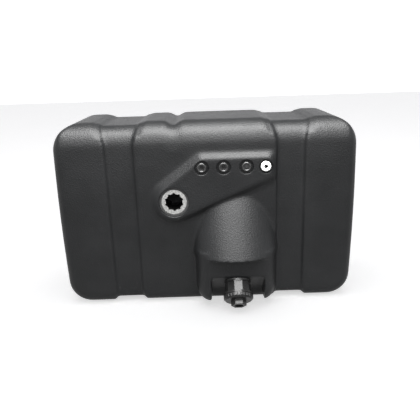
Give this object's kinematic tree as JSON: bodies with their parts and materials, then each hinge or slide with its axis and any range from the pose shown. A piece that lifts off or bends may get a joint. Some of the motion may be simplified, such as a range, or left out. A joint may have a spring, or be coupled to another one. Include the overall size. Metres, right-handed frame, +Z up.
{
  "type": "fresh water tank",
  "caption": "Strap-mounted moulded fresh water tank with a recessed filler, a row of screwed ports, a push-in tube fitting and a slanting drain valve under a hood.",
  "frame": {"origin": "middle of the tank's flat base", "axes": "+Z up, -Y out of the face with the filler and ports, +X to that face's right as a viewer sees it"},
  "size_m": [0.61, 0.3178, 0.382],
  "materials": {
    "shell_plastic": "rotomoulded black polyethylene, fine pebble texture",
    "cast_metal": "machined zinc, dull grey",
    "seal_rubber": "black nitrile rubber",
    "liner_plastic": "black polypropylene, matte",
    "insert_brass": "plain brass",
    "plug_plastic": "glossy black nylon",
    "fitting_white": "white acetal",
    "tube_plastic": "milky polyethylene",
    "valve_plastic": "glossy black nylon",
    "disc_ceramic": "white ceramic"
  },
  "bodies": {
    "tank": {"tank_shell": "shell_plastic", "filler_insert": "cast_metal", "filler_liner": "liner_plastic", "filler_pocket_seal": "seal_rubber", "port_thread_inserts": "insert_brass", "tube_fitting_body": "fitting_white", "tube_fitting_sleeve": "seal_rubber", "tube_fitting_washer": "seal_rubber", "pickup_tube": "tube_plastic", "pickup_strainer": "tube_plastic", "drain_thread_insert": "insert_brass", "drain_gasket": "seal_rubber", "drain_valve_body": "valve_plastic", "drain_fixed_disc": "disc_ceramic", "drain_spigot_oring": "seal_rubber"},
    "left_plug": {"plug_left": "plug_plastic", "plug_left_seal": "seal_rubber"},
    "middle_plug": {"plug_middle": "plug_plastic", "plug_middle_seal": "seal_rubber"},
    "vent_plug": {"plug_vent": "plug_plastic", "plug_vent_seal": "seal_rubber"},
    "collet": {"tube_fitting_collet": "fitting_white"},
    "drain_knob": {"drain_collar": "valve_plastic", "drain_nose": "valve_plastic", "drain_turning_disc": "disc_ceramic"}
  },
  "joints": [
    {"name": "left_plug_out", "type": "slide", "parent": "tank", "child": "left_plug", "axis": [0, -1, 0], "range_m": [0, 0.03]},
    {"name": "middle_plug_out", "type": "slide", "parent": "tank", "child": "middle_plug", "axis": [0, -1, 0], "range_m": [0, 0.03]},
    {"name": "vent_plug_out", "type": "slide", "parent": "tank", "child": "vent_plug", "axis": [0, -1, 0], "range_m": [0, 0.03]},
    {"name": "collet_push", "type": "slide", "parent": "tank", "child": "collet", "axis": [0, 1, 0], "range_m": [0, 0.0016]},
    {"name": "drain_turn", "type": "hinge", "parent": "tank", "child": "drain_knob", "pos_m": [0.059, -0.16871, 0.03029], "axis": [0, -0.7071, -0.7071], "range_deg": [0, 90]}
  ]
}
